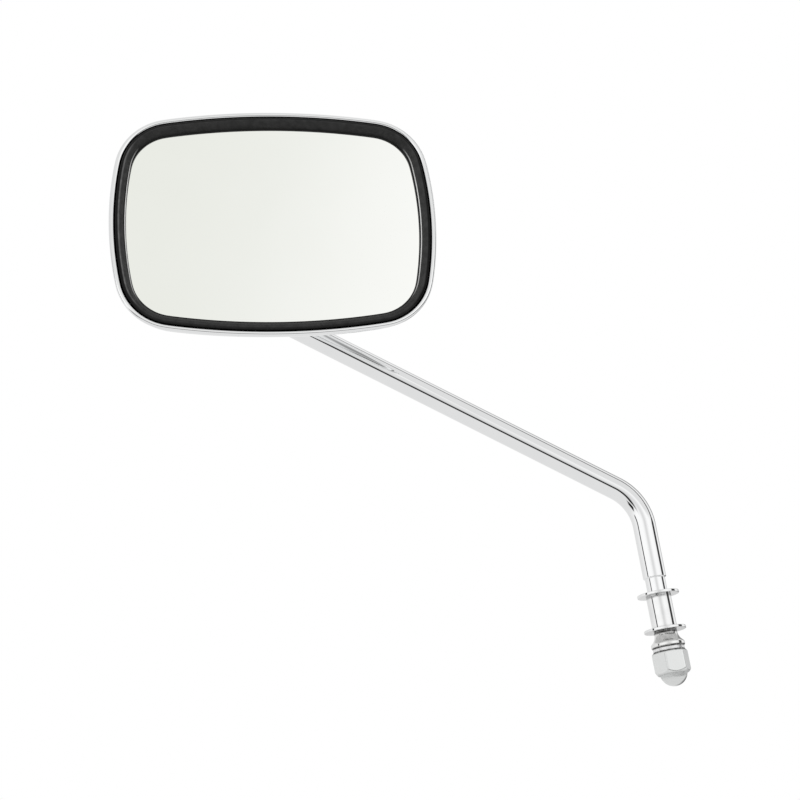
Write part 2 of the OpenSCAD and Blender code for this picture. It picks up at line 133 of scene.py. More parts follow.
def addWindow(tree, value, centre, flat, fade):
    # 1 near the centre, falling to 0 between flat and fade away from it
    away = addMath(tree, "ABSOLUTE", addMath(tree, "SUBTRACT", value, centre))
    return addNode(tree, "ShaderNodeMapRange", {0: away, 1: flat, 2: fade, 3: 1.0, 4: 0.0},
                   interpolation_type="SMOOTHSTEP").outputs[0]


# Studio: a white tent whose few dark gaps show as thin lines in the chrome.
# A bearing of 0 degrees is straight in front of the glass, and +90 is to the perch's side.
# A rise is an angle above the horizon. Lists hold (bearing or rise, tone or share of darkness).
studio = {
    "floorHeight": -0.34,
    "floorMiddle": (-0.1, 0.0),
    "floorSize": 40.0,
    "floorColour": (0.84, 0.84, 0.83, 1),
    "floorRoughness": 0.7,
    "roomLight": 0.80,
    "bearings": (-180, 180),
    "rises": (-90, 90),
    # The ground, the tent's walls and its roof
    "lowTone": 0.78,
    "frontTone": (
        (-180, 0.80), (-130, 0.79), (-113, 0.84), (-98, 0.87), (-74, 1.00), (-58, 1.03), (-38, 1.03),
        (-28, 0.99), (-20, 0.90), (-11, 0.75), (0, 0.77), (6, 0.86), (13, 0.95), (24, 1.03), (40, 1.02),
        (54, 0.96), (95, 0.92), (115, 0.94), (150, 0.88), (180, 0.82),
    ),
    "highTone": (
        (-180, 0.78), (-60, 0.76), (-34, 0.80), (-10, 0.74), (8, 0.74), (18, 0.78), (38, 0.77), (66, 0.80),
        (96, 0.86), (120, 0.93), (150, 0.93), (180, 0.80),
    ),
    "frontRise": {"low": (-22.0, -6.0), "high": (15.0, 19.0), "slant": 0.06},
}

# The tent's lower seam in front: directions close to one plane, and its fade across them in half widths
seam = {
    "normal": (0.098, -0.355, 0.930),
    "place": -0.025,
    "half": 0.115,
    "bearings": ((-180, 0.0), (-39, 0.0), (-33, 1.0), (84, 1.0), (100, 0.0), (180, 0.0)),
    "fadeSpan": (-4, 4),
    "fade": (
        (-4.0, 0.0), (-1.10, 0.0), (-0.75, 0.99), (0.70, 0.99), (1.0, 0.62), (1.5, 0.22), (2.2, 0.0),
        (4.0, 0.0),
    ),
}

# Upright gaps between the tent's walls, dark out to "flat" degrees from the middle and gone at "fade".
# "narrow" scales that width by the rise, and "rises" says how dark the gap is at each rise.
gaps = {
    "right": {
        "bearing": 79.5, "flat": 11.0, "fade": 16.0,
        "narrow": ((-90, 1.0), (17, 1.0), (22, 0.5), (44, 0.5), (58, 1.0), (90, 1.0)),
        "rises": ((-90, 0.0), (-9, 0.0), (-4, 0.97), (40, 0.93), (66, 0.55), (80, 0.0), (90, 0.0)),
    },
    "left": {
        "bearing": -81.0, "flat": 3.6, "fade": 6.6,
        "rises": ((-90, 0.0), (-15, 0.0), (-11, 0.96), (14, 0.96), (20, 0.0), (90, 0.0)),
    },
    "low": {
        "bearing": -56.0, "flat": 9.5, "fade": 13.0,
        "rises": ((-90, 0.0), (-34, 0.0), (-30, 0.98), (-19, 0.98), (-15.5, 0.0), (90, 0.0)),
    },
    "back": {
        "bearing": 140.0, "flat": 9.0, "fade": 27.0,
        "rises": (
            (-90, 0.0), (-44, 0.0), (-24, 0.76), (4, 0.76), (7, 0.30), (14, 0.30), (17, 0.64), (38, 0.66),
            (60, 0.0), (90, 0.0),
        ),
    },
}

# What the glass shows: cream paper that brightens to the right and downwards
glassView = {
    "bearing": 2.5, "flat": 6.3, "fade": 8.0,
    "rise": 23.0, "riseFlat": 5.0, "riseFade": 8.0,
    "slant": 0.35,
    "span": (-20, 20),
    "paper": (
        (-20, (0.860, 0.868, 0.828)), (-1.0, (0.860, 0.868, 0.830)), (2.5, (0.885, 0.892, 0.862)),
        (5.5, (0.945, 0.948, 0.930)), (8.5, (0.990, 0.990, 0.980)), (20, (0.990, 0.990, 0.980)),
    ),
}


def tentTone(tree, direction, bearing, rise):
    # Paper on the ground, then the brighter side walls of the tent, then the roof
    level = studio["frontRise"]
    slanted = addMath(tree, "SUBTRACT", rise, addMath(tree, "MULTIPLY", bearing, level["slant"]))
    aboveGround = addRange(tree, slanted, level["low"])
    aboveWalls = addRange(tree, slanted, level["high"])
    tone = addBlend(tree, aboveGround, (*[studio["lowTone"]] * 3, 1),
                    addRamp(tree, bearing, studio["bearings"], studio["frontTone"]))
    tone = addBlend(tree, aboveWalls, tone, addRamp(tree, bearing, studio["bearings"], studio["highTone"]))

    # The tent's lower seam in front, sharp below and softer above
    overSeam = addNode(
        tree, "ShaderNodeVectorMath", {0: direction, 1: seam["normal"]}, operation="DOT_PRODUCT"
    ).outputs["Value"]
    across = addMath(tree, "DIVIDE", addMath(tree, "SUBTRACT", overSeam, seam["place"]), seam["half"])
    dark = addMath(tree, "MULTIPLY", addRamp(tree, across, seam["fadeSpan"], seam["fade"]),
                   addRamp(tree, bearing, studio["bearings"], seam["bearings"]))
    tone = addShade(tree, tone, dark)

    # The gaps between the tent's walls, each as dark at a rise as its list says
    for gap in gaps.values():
        across = addMath(tree, "SUBTRACT", bearing, gap["bearing"])
        if "narrow" in gap:
            across = addMath(tree, "DIVIDE", across, addRamp(tree, rise, studio["rises"], gap["narrow"]))
        dark = addMath(tree, "MULTIPLY", addWindow(tree, across, 0.0, gap["flat"], gap["fade"]),
                       addRamp(tree, rise, studio["rises"], gap["rises"]))
        tone = addShade(tree, tone, dark)
    return tone


def addGlassView(tree, tone, bearing, rise):
    view = glassView
    below = addMath(tree, "MULTIPLY", addMath(tree, "SUBTRACT", rise, view["rise"]), view["slant"])
    paper = addRamp(tree, addMath(tree, "SUBTRACT", bearing, below), view["span"], view["paper"])
    inView = addMath(tree, "MULTIPLY", addWindow(tree, bearing, view["bearing"], view["flat"], view["fade"]),
                     addWindow(tree, rise, view["rise"], view["riseFlat"], view["riseFade"]))
    return addBlend(tree, inView, tone, paper)


def makeWorld():
    world = bpy.data.worlds.new("studioTent")
    bpy.context.scene.world = world
    world.use_nodes = True
    tree = world.node_tree
    tree.nodes.clear()
    direction = addNode(tree, "ShaderNodeTexCoord").outputs["Generated"]
    x, y, z = addNode(tree, "ShaderNodeSeparateXYZ", {0: direction}).outputs
    bearing = addMath(tree, "ARCTAN2", x, addMath(tree, "MULTIPLY", y, -1.0))
    bearing = addMath(tree, "MULTIPLY", bearing, math.degrees(1))
    rise = addMath(tree, "MULTIPLY", addMath(tree, "ARCSINE", z), math.degrees(1))
    tent = addGlassView(tree, tentTone(tree, direction, bearing, rise), bearing, rise)

    # The camera sees plain white, gloss sees the tent, and the rest gets an even light
    rays = addNode(tree, "ShaderNodeLightPath")
    shown = addNode(tree, "ShaderNodeBackground", {0: (1, 1, 1, 1), 1: 1.0})
    reflected = addNode(tree, "ShaderNodeBackground", {0: tent, 1: 1.0})
    around = addNode(tree, "ShaderNodeBackground", {0: (1, 1, 1, 1), 1: studio["roomLight"]})
    mirrored = addNode(tree, "ShaderNodeMixShader", {
        0: addMath(tree, "MAXIMUM", rays.outputs["Is Glossy Ray"], rays.outputs["Is Transmission Ray"]),
        1: around.outputs[0], 2: reflected.outputs[0],
    })
    final = addNode(tree, "ShaderNodeMixShader", {
        0: rays.outputs["Is Camera Ray"], 1: mirrored.outputs[0], 2: shown.outputs[0],
    })
    addNode(tree, "ShaderNodeOutputWorld", {0: final.outputs[0]})
    print("studio light made")


makeWorld()


# Helpers for the finishes
noiseSpan = (0.3, 0.7)  # most of a noise texture's values lie between these


def newMaterial(name):
    material = bpy.data.materials.new(name)
    material.use_nodes = True
    material.node_tree.nodes.clear()
    return material, material.node_tree


def finishMaterial(material, surface):
    shader = addNode(material.node_tree, "ShaderNodeBsdfPrincipled", surface)
    addNode(material.node_tree, "ShaderNodeOutputMaterial", {0: shader.outputs[0]})
    return material


def addNoise(tree, place, scale, detail):
    return addNode(tree, "ShaderNodeTexNoise", {
        "Vector": place, "Scale": scale, "Detail": detail,
    }).outputs["Fac"]


def objectNoise(tree, scale, detail=3.0, stretch=(1, 1, 1)):
    place = addNode(tree, "ShaderNodeTexCoord").outputs["Object"]
    stretched = addNode(tree, "ShaderNodeMapping", {"Vector": place, "Scale": stretch}).outputs[0]
    return addNoise(tree, stretched, scale, detail)


def shadeNoise(tree, noise, dark, light, span=noiseSpan):
    return addRamp(tree, noise, (0, 1), [(span[0], dark), (span[1], light)])


def addBump(tree, height, strength, depth):
    return addNode(tree, "ShaderNodeBump", {
        "Height": height, "Strength": strength, "Distance": depth,
    }).outputs[0]


def makeFloor():
    bpy.ops.object.select_all(action="DESELECT")
    place = (*studio["floorMiddle"], studio["floorHeight"])
    bpy.ops.mesh.primitive_plane_add(size=studio["floorSize"], location=place)
    floor = bpy.context.object
    floor.name = "studioFloor"
    material, _ = newMaterial("paleFloor")
    floor.data.materials.append(finishMaterial(material, {
        "Base Color": studio["floorColour"], "Roughness": studio["floorRoughness"],
    }))
    floor.visible_glossy = False
    print("floor laid")


makeFloor()


def chromeFinish(name, settings):
    material, tree = newMaterial(name)
    mottle = objectNoise(tree, settings["mottleScale"])
    wave = objectNoise(tree, settings["waveScale"], detail=1.0)
    return finishMaterial(material, {
        "Base Color": shadeNoise(tree, mottle, settings["dark"], settings["light"]),
        "Metallic": 1.0,
        "Roughness": addRange(tree, mottle, noiseSpan, settings["roughness"]),
        "Normal": addBump(tree, wave, settings["waveStrength"], settings["waveDepth"]),
    })


# Painted shade on the stack, by the height on the stud's axis
stack = {
    "span": (-0.045, 0.010),
    # Painted shade in the joints between the parts, where contact shadow falls: (height, share of the light
    # lost)
    "jointShade": (
        (-0.0450, 0.0),
        (-0.02640, 0.0), (-0.02600, 0.90), (-0.02555, 0.95), (-0.02520, 0.0),  # nut and lock washer
        (-0.02425, 0.0), (-0.02395, 0.95), (-0.02350, 0.95), (-0.02315, 0.0),  # lock washer and collar
        (-0.01780, 0.0), (-0.01735, 0.80), (-0.01645, 0.99), (-0.01641, 0.0),  # collar and lower washer
        (-0.01500, 0.0), (-0.01480, 0.25), (-0.01400, 0.0),  # lower washer and sleeve
        (-0.00150, 0.0), (-0.00090, 0.45), (-0.00020, 0.60), (-0.00001, 0.0),  # sleeve and upper washer
        (0.0100, 0.0),
    ),
    "patchSpan": (0.38, 0.60),
    "patchShare": (0.55, 1.0),
    "jointShadeRoughness": 0.35,
    # The polish doesn't reach the corner at the dome's foot: (height, roughness added)
    "unpolished": (
        (-0.0450, 0.0), (-0.0384, 0.0), (-0.0372, 0.40), (-0.0358, 0.40), (-0.0354, 0.0), (0.0100, 0.0),
    ),
    "streakSpan": (0.32, 0.68),
}


def hardwareFinish(name, settings):
    material, tree = newMaterial(name)
    # Place in the stud's own frame, and the height along its axis
    place = addNode(tree, "ShaderNodeTexCoord").outputs["Object"]
    turned = addNode(tree, "ShaderNodeMapping", {"Vector": place, "Rotation": (0, studLean, 0)}).outputs[0]
    height = addNode(tree, "ShaderNodeSeparateXYZ", {0: turned}).outputs[2]

    mottle = addNoise(tree, turned, settings["mottleScale"], detail=3.0)
    # Painted contact shade in the joints between the parts, in patches, with some roughness added there
    patchy = addRange(tree, mottle, stack["patchSpan"], stack["patchShare"])
    jointShade = addMath(tree, "MULTIPLY", addRamp(tree, height, stack["span"], stack["jointShade"]), patchy)
    stretched = addNode(tree, "ShaderNodeMapping", {"Vector": turned, "Scale": settings["streakStretch"]})
    streak = addNoise(tree, stretched.outputs[0], settings["streakScale"], detail=4.0)
    tone = shadeNoise(tree, streak, settings["dark"], settings["light"], stack["streakSpan"])
    tone = addScaled(tree, tone, addMath(tree, "SUBTRACT", 1.0, jointShade))
    rough = addRange(tree, streak, noiseSpan, settings["roughness"])
    rough = addMath(tree, "ADD", rough, addMath(tree, "MULTIPLY", jointShade, stack["jointShadeRoughness"]))
    rough = addMath(tree, "ADD", rough, addRamp(tree, height, stack["span"], stack["unpolished"]))
    return finishMaterial(material, {
        "Base Color": tone,
        "Metallic": 1.0,
        "Roughness": rough,
        "Normal": addBump(tree, streak, settings["bumpStrength"], settings["bumpDepth"]),
    })


# Rubber of the bezel. "inset" runs in mm from its outer edge to about 4.9 at the glass,
# "side" is 1 on both flanks, the left-flank mark on the left one alone and "foot" along the bottom.
bezelMarks = ("inset", "side", "leftFlank", "foot")
rubber = {
    "cloudScale": 420.0,
    "grainScale": 2500.0,
    "detail": 4.0,
    "span": (0, 5),
    # Tones by inset for the top, the flanks and the foot. The middle is the rubber's own dark tone; the
    # rounded outer edge and the wall down to the glass get painted shade, the flanks are painted lighter
    # than the top, and the foot is painted lighter at its outer edge and darker towards the glass
    "tone": (
        (0.0, 0.0010), (0.85, 0.0015), (1.25, 0.014), (1.6, 0.042), (1.95, 0.038), (3.4, 0.034),
        (3.9, 0.030), (4.52, 0.026), (4.60, 0.002), (5.0, 0.002),
    ),
    "flankTone": (
        (0.0, 0.0010), (0.80, 0.0015), (1.20, 0.014), (1.55, 0.050), (2.0, 0.048), (3.6, 0.050),
        (3.75, 0.046), (3.9, 0.018), (4.28, 0.004), (5.0, 0.002),
    ),
    "footTone": (
        (0.0, 0.0040), (0.50, 0.0120), (1.0, 0.028), (1.5, 0.042), (2.2, 0.030), (3.0, 0.018), (3.6, 0.010),
        (4.1, 0.007), (4.50, 0.004), (5.0, 0.002),
    ),
    # A painted highlight along the crest of the left flank
    "crestHighlight": ((0.0, 0.0), (1.35, 0.0), (1.65, 0.130), (1.95, 0.060), (2.3, 0.0), (5.0, 0.0)),
    "unevenSpan": (0.35, 0.65),
    "uneven": (0.80, 1.22),
    "lipShift": 0.42,
    # A painted highlight along the lip of both flanks, and its colour below
    "lipHighlight": ((0.0, 0.0), (3.82, 0.0), (3.90, 1.0), (4.20, 1.0), (4.27, 0.0), (5.0, 0.0)),
    "lipHighlightColour": (0.98, 0.98, 0.97, 1),
    "roughness": ((0.0, 0.30), (1.2, 0.36), (1.8, 0.50), (4.2, 0.46), (4.4, 0.25), (5.0, 0.25)),
    "bumpStrength": 0.15,
    "bumpDepth": 0.00004,
    "specular": 0.14,
}


def rubberFinish():
    material, tree = newMaterial("bezelRubber")
    inset, side, leftFlank, foot = (
        addNode(tree, "ShaderNodeAttribute", attribute_name=name).outputs["Fac"] for name in bezelMarks
    )
    cloud = objectNoise(tree, rubber["cloudScale"], rubber["detail"])
    grain = objectNoise(tree, rubber["grainScale"], rubber["detail"])
    tone, flankTone, footTone, crestHighlight, rough = (
        addRamp(tree, inset, rubber["span"], rubber[name])
        for name in ("tone", "flankTone", "footTone", "crestHighlight", "roughness")
    )
    # Painted shade and light by the inset, with their own tones on the flanks and the foot
    tone = addBlend(tree, foot, addBlend(tree, side, tone, flankTone), footTone)
    # The painted highlight along the crest of the left flank
    tone = addNode(tree, "ShaderNodeVectorMath", {0: tone, 1: addScaled(tree, crestHighlight, leftFlank)},
                   operation="ADD").outputs[0]
    tone = addScaled(tree, tone, addRange(tree, cloud, rubber["unevenSpan"], rubber["uneven"]))
    # The painted highlight along the lip of both flanks lies closer to the glass on the left flank
    lip = addMath(tree, "SUBTRACT", inset, addMath(tree, "MULTIPLY", leftFlank, rubber["lipShift"]))
    line = addRamp(tree, lip, rubber["span"], rubber["lipHighlight"])
    tone = addBlend(tree, addMath(tree, "MULTIPLY", line, side), tone, rubber["lipHighlightColour"])
    return finishMaterial(material, {
        "Base Color": tone,
        "Roughness": rough,
        "Normal": addBump(tree, grain, rubber["bumpStrength"], rubber["bumpDepth"]),
        "Specular IOR Level": rubber["specular"],
    })


def glassFinish(name, settings):
    material, tree = newMaterial(name)
    cloud = objectNoise(tree, settings["cloudScale"], detail=2.0)
    return finishMaterial(material, {
        "Base Color": shadeNoise(tree, cloud, settings["dark"], settings["light"]),
        "Metallic": 1.0,
        "Roughness": addRange(tree, cloud, noiseSpan, settings["roughness"]),
    })


def brushedFinish(name, settings):
    material, tree = newMaterial(name)
    streak = objectNoise(tree, settings["streakScale"], detail=4.0, stretch=(1.0, 8.0, 1.0))
    return finishMaterial(material, {
        "Base Color": shadeNoise(tree, streak, settings["dark"], settings["light"]),
        "Metallic": 1.0,
        "Roughness": addRange(tree, streak, noiseSpan, settings["roughness"]),
    })


def mouldedFinish(name, settings):
    material, tree = newMaterial(name)
    cloud = objectNoise(tree, settings["cloudScale"])
    return finishMaterial(material, {
        "Base Color": shadeNoise(tree, cloud, settings["dark"], settings["light"]),
        "Roughness": settings["roughness"],
        "Normal": addBump(tree, cloud, settings["bumpStrength"], settings["bumpDepth"]),
    })


# One finish for each of the record's material slots
finish = {
    "stem_chrome": chromeFinish("stemChrome", {
        "mottleScale": 90.0, "roughness": (0.025, 0.045), "dark": (0.925, 0.930, 0.935),
        "light": (0.945, 0.950, 0.952), "waveScale": 45.0, "waveStrength": 0.10, "waveDepth": 0.00006,
    }),
    "hardware_chrome": hardwareFinish("hardwareChrome", {
        "mottleScale": 900.0, "streakScale": 260.0, "streakStretch": (1, 1, 1), "dark": (0.88, 0.885, 0.885),
        "light": (0.94, 0.942, 0.940), "roughness": (0.03, 0.06), "bumpStrength": 0.10, "bumpDepth": 0.00004,
    }),
    "shell_chrome": chromeFinish("shellChrome", {
        "mottleScale": 60.0, "roughness": (0.03, 0.05), "dark": (0.925, 0.932, 0.935),
        "light": (0.945, 0.950, 0.952), "waveScale": 30.0, "waveStrength": 0.10, "waveDepth": 0.00008,
    }),
    "silvered_glass": glassFinish("silveredGlass", {
        "cloudScale": 25.0, "dark": (0.950, 0.957, 0.935), "light": (0.962, 0.968, 0.950),
        "roughness": (0.012, 0.02),
    }),
    "black_rubber": rubberFinish(),
    "zinc_steel": brushedFinish("zincPlate", {
        "streakScale": 300.0, "dark": (0.62, 0.63, 0.65), "light": (0.76, 0.77, 0.79),
        "roughness": (0.28, 0.42),
    }),
    "spring_steel": brushedFinish("springWire", {
        "streakScale": 600.0, "dark": (0.42, 0.43, 0.45), "light": (0.56, 0.57, 0.59),
        "roughness": (0.28, 0.42),
    }),
    "white_nylon": mouldedFinish("seatNylon", {
        "cloudScale": 200.0, "dark": (0.84, 0.83, 0.78), "light": (0.90, 0.89, 0.85), "roughness": 0.45,
        "bumpStrength": 0.2, "bumpDepth": 0.0001,
    }),
    "grey_foam": mouldedFinish("padFoam", {
        "cloudScale": 1500.0, "dark": (0.08, 0.085, 0.09), "light": (0.15, 0.155, 0.165), "roughness": 0.9,
        "bumpStrength": 0.2, "bumpDepth": 0.0001,
    }),
}
# Three pieces on the stud differ from its chrome: turned steel left bright, a dull plating and rough steel
ownFinish = {
    "cone_collar": hardwareFinish("collarSteel", {
        "mottleScale": 500.0, "streakScale": 240.0, "streakStretch": (1.0, 1.0, 0.15),
        "dark": (0.84, 0.84, 0.83), "light": (0.99, 0.99, 0.98), "roughness": (0.10, 0.18),
        "bumpStrength": 0.15, "bumpDepth": 0.00004,
    }),
    "acorn_nut": hardwareFinish("nutPlate", {
        "mottleScale": 900.0, "streakScale": 200.0, "streakStretch": (1, 1, 1),
        "dark": (0.80, 0.812, 0.805), "light": (0.84, 0.852, 0.845), "roughness": (0.15, 0.21),
        "bumpStrength": 0.12, "bumpDepth": 0.00005,
    }),
    "lock_washer": hardwareFinish("lockSteel", {
        "mottleScale": 900.0, "streakScale": 300.0, "streakStretch": (1, 1, 4),
        "dark": (0.90, 0.90, 0.90), "light": (0.99, 0.99, 0.99), "roughness": (0.34, 0.42),
        "bumpStrength": 0.15, "bumpDepth": 0.00005,
    }),
}
print("finishes made:", len(finish) + len(ownFinish))

slotOf = {part["node"]: part["material_slot"] for part in frame["record"]["subparts"]}
bodyOf = {name: body for body, names in frame["record"]["behaviour"]["bodies"].items() for name in names}


def dressNodes():
    # The nodes that stay show the finish of their own slot
    for name, node in nodes.items():
        node.data.materials.clear()
        node.data.materials.append(finish[slotOf[name]])


dressNodes()


def takeOver(piece, nodeName):
    # Every piece stands for one CAD node and takes its body and its finish
    piece.data.materials.clear()
    piece.data.materials.append(ownFinish.get(nodeName, finish[slotOf[nodeName]]))
    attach(piece, bodyOf[nodeName])
    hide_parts(nodeName)
    print("piece made:", piece.name, len(piece.data.polygons), "faces")


def selectOnly(piece):
    bpy.ops.object.select_all(action="DESELECT")
    piece.select_set(True)
    bpy.context.view_layer.objects.active = piece


def smoothByAngle(piece, angle):
    selectOnly(piece)
    bpy.ops.object.shade_smooth_by_angle(angle=math.radians(angle))


def applyModifier(piece, kind, **settings):
    selectOnly(piece)
    modifier = piece.modifiers.new(kind.lower(), kind)
    for name, value in settings.items():
        setattr(modifier, name, value)
    bpy.ops.object.modifier_apply(modifier=modifier.name)


def evenNormals(piece, angle):
    # Broad faces keep their own normals beside narrow rounded edges
    smoothByAngle(piece, angle)
    applyModifier(piece, "WEIGHTED_NORMAL", mode="FACE_AREA", weight=100, keep_sharp=True)


# Head: the pressed shell and the bezel, from merged copies of their solids
head = {
    "mergeDistance": 0.000002,
    "levels": 2,
    "creaseAngle": 50,
    "crease": 0.8,
    "smoothAngle": 60,
}


def smoothCopy(nodeName, pieceName):
    piece = bpy.data.objects.new(pieceName, nodes[nodeName].data.copy())
    bpy.context.scene.collection.objects.link(piece)
    selectOnly(piece)
    bpy.ops.mesh.customdata_custom_splitnormals_clear()
    bpy.ops.object.mode_set(mode="EDIT")
    bpy.ops.mesh.select_all(action="SELECT")
    bpy.ops.mesh.remove_doubles(threshold=head["mergeDistance"])
    bpy.ops.mesh.tris_convert_to_quads(face_threshold=math.pi, shape_threshold=math.pi)
    bpy.ops.mesh.select_all(action="DESELECT")
    bpy.ops.mesh.edges_select_sharp(sharpness=math.radians(head["creaseAngle"]))
    bpy.ops.transform.edge_crease(value=head["crease"])
    bpy.ops.object.mode_set(mode="OBJECT")
    applyModifier(piece, "SUBSURF", levels=head["levels"], render_levels=head["levels"])
    smoothByAngle(piece, head["smoothAngle"])
    return piece


# The face's outline, arcs about fixed centres as in the CAD, and where the bezel's flank and foot begin
face = {
    "width": 0.1416,
    "height": 0.1034,
    "topArc": 0.324,
    "sideArc": 0.153,
    "corner": 0.024,
    "flank": (0.060, 0.066),
    "foot": (-0.036, -0.042),
}


def insetMaker():
    top = Vector((0, face["height"] / 2 - face["topArc"]))
    flank = Vector((face["width"] / 2 - face["sideArc"], 0))
    apart = flank - top
    fromTop, fromSide = face["topArc"] - face["corner"], face["sideArc"] - face["corner"]
    reach = (apart.length_squared + fromTop ** 2 - fromSide ** 2) / (2 * apart.length)
    across = math.sqrt(fromTop ** 2 - reach ** 2)
    heading = apart.normalized()
    sideways = Vector((heading.y, -heading.x)) * across
    corner = top + heading * reach + sideways
    if corner.x < 0 or corner.y < 0:
        corner = top + heading * reach - sideways
    flankEnd = math.atan2(corner.y - flank.y, corner.x - flank.x)
    topEnd = math.atan2(corner.y - top.y, corner.x - top.x)

    def insetAt(x, z):
        place = Vector((abs(x), abs(z)))
        if math.atan2(place.y - flank.y, place.x - flank.x) < flankEnd:
            return face["sideArc"] - (place - flank).length
        if math.atan2(place.y - top.y, place.x - top.x) > topEnd:
            return face["topArc"] - (place - top).length
        return face["corner"] - (place - corner).length

    return insetAt


def clampShare(value, start, end):
    return max(0.0, min(1.0, (value - start) / (end - start)))


def markBezel(piece):
    low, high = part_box("bezel_gasket")
    middleX, middleZ = (low[0] + high[0]) / 2, (low[2] + high[2]) / 2
    insetAt = insetMaker()
    for name in bezelMarks:
        piece.data.attributes.new(name, "FLOAT", "POINT")
    inset, side, leftFlank, foot = (piece.data.attributes[name].data for name in bezelMarks)
    for vertex in piece.data.vertices:
        x, z = vertex.co.x - middleX, vertex.co.z - middleZ
        flank = clampShare(abs(x), *face["flank"])
        inset[vertex.index].value = 1000 * insetAt(x, z)  # in mm
        side[vertex.index].value = flank
        leftFlank[vertex.index].value = flank if x < 0 else 0.0
        foot[vertex.index].value = clampShare(z, *face["foot"]) * (1 - flank)


def makeHead():
    takeOver(smoothCopy("housing_shell", "headShell"), "housing_shell")
    bezel = smoothCopy("bezel_gasket", "bezelRing")
    markBezel(bezel)
    takeOver(bezel, "bezel_gasket")


makeHead()


# A skin of rings is first drawn straight up, this far apart, and each ring is then carried to its place
ringStep = 0.001


def drawRings(name, sides, radius, count):
    bpy.ops.object.select_all(action="DESELECT")
    bpy.ops.mesh.primitive_circle_add(vertices=sides, radius=radius, location=(0, 0, 0))
    piece = bpy.context.object
    piece.name = name
    bpy.ops.object.mode_set(mode="EDIT")
    bpy.ops.mesh.select_mode(type="EDGE")
    for _ in range(count - 1):
        bpy.ops.mesh.extrude_region_move(TRANSFORM_OT_translate={"value": (0, 0, ringStep)})
    bpy.ops.object.mode_set(mode="OBJECT")
    return piece


def ringOf(vertex):
    return round(vertex.co.z / ringStep)


def closeEnds(piece):
    selectOnly(piece)
    bpy.ops.object.mode_set(mode="EDIT")
    bpy.ops.mesh.select_all(action="DESELECT")
    bpy.ops.mesh.select_mode(type="EDGE")
    bpy.ops.mesh.select_non_manifold()
    bpy.ops.mesh.edge_face_add()
    bpy.ops.mesh.select_all(action="SELECT")
    bpy.ops.mesh.normals_make_consistent(inside=False)
    bpy.ops.object.mode_set(mode="OBJECT")


# Stem: one bar from the ball to the foot of the stud
stem = {
    "ballCentre": (-0.1720815, -0.0225358, 0.1383414),
    "neckCorner": (-0.1720815, 0.0, 0.1383414),
    "elbowCorner": (-0.0046668, 0.0, 0.0451595),
    "radius": 0.0053,
    "neckRadius": 0.00375,
    "neckBend": 0.0106,
    "elbowBend": 0.024,
    # The pin in the ball: (way back from the ball's centre, radius)
    "spigot": ((-0.0015, 0.0008), (-0.0013, 0.0023), (0.0066, 0.0023)),
    "turnedRadius": 0.0046,
    "turnedTop": 0.0082,
    "turnedFoot": 0.0013,
    "turnedFillet": 0.00012,
    "threadRadius": 0.004,
    "shankEnd": 0.0345,
    "endChamfer": 0.0008,
    "edge": 0.0005,  # rounding of the shoulders
    "edgeRings": ((0.0003, 0.00008), (0.0001, 0.0003)),  # (height over the turned shoulder, way in)
    "fine": 0.0001,  # smallest edges
    "sides": 96,
    "neckRings": 32,
    "armRings": 24,
    "elbowRings": 40,
    "legRings": 8,
    "smoothAngle": 35,
}


def stemRings():
    # (centre, direction, radius) of each ring
    ball, corner, elbow = (Vector(stem[name]) for name in ("ballCentre", "neckCorner", "elbowCorner"))
    back, down = Vector((0, 1, 0)), -studAxis
    along = (elbow - corner).normalized()
    radius, edge, fine, neck = stem["radius"], stem["edge"], stem["fine"], stem["neckRadius"]

    # The spigot in the ball, the neck, and the shoulder before the bar
    shoulder = (corner - ball).length - (stem["neckBend"] + edge)
    places = [*stem["spigot"], (stem["spigot"][-1][0], neck)]
    places += [(shoulder - fine, neck), (shoulder, neck + fine), (shoulder, radius - edge - fine)]
    places += [(shoulder + fine, radius - edge), (shoulder + edge - fine, radius - fine)]
    places += [(shoulder + edge, radius)]
    rings = [(ball + back * place, back, size) for place, size in places]

    # The bend behind the head
    bend = stem["neckBend"]
    centre = corner - back * bend + along * bend
    for step in range(1, stem["neckRings"] + 1):
        turn = math.pi / 2 * step / stem["neckRings"]
        rings.append((centre - along * bend * math.cos(turn) + back * bend * math.sin(turn),
                      back * math.cos(turn) + along * math.sin(turn), radius))

    # The arm, the elbow and the leg
    elbowTurn = math.acos(along.dot(down))
    bend = stem["elbowBend"]
    reach = bend * math.tan(elbowTurn / 2)
    start, end = centre + back * stem["neckBend"], elbow - along * reach
    for step in range(1, stem["armRings"] + 1):
        rings.append((start.lerp(end, step / stem["armRings"]), along, radius))
    side = (down - along * along.dot(down)).normalized()
    centre = end + side * bend
    for step in range(1, stem["elbowRings"] + 1):
        turn = elbowTurn * step / stem["elbowRings"]
        rings.append((centre + bend * (along * math.sin(turn) - side * math.cos(turn)),
                      along * math.cos(turn) + side * math.sin(turn), radius))
    start, end = elbow + down * reach, studAxis * (stem["turnedTop"] + edge)
    for step in range(1, stem["legRings"] + 1):
        rings.append((start.lerp(end, step / stem["legRings"]), down, radius))

    # The turned part over the upper washer, and the stud
    top, foot, end = stem["turnedTop"], stem["turnedFoot"], -stem["shankEnd"]
    turned, thread, fillet = stem["turnedRadius"], stem["threadRadius"], stem["turnedFillet"]
    chamfer = stem["endChamfer"]
    places = [(top + rise, radius - wayIn) for rise, wayIn in stem["edgeRings"]]
    places += [(top, radius - edge), (top, turned + fillet), (top - fillet, turned), (foot + fine, turned),
               (foot, turned - fine), (foot, thread), (end + chamfer, thread), (end, thread - chamfer)]
    return rings + [(studAxis * height, down, size) for height, size in places]


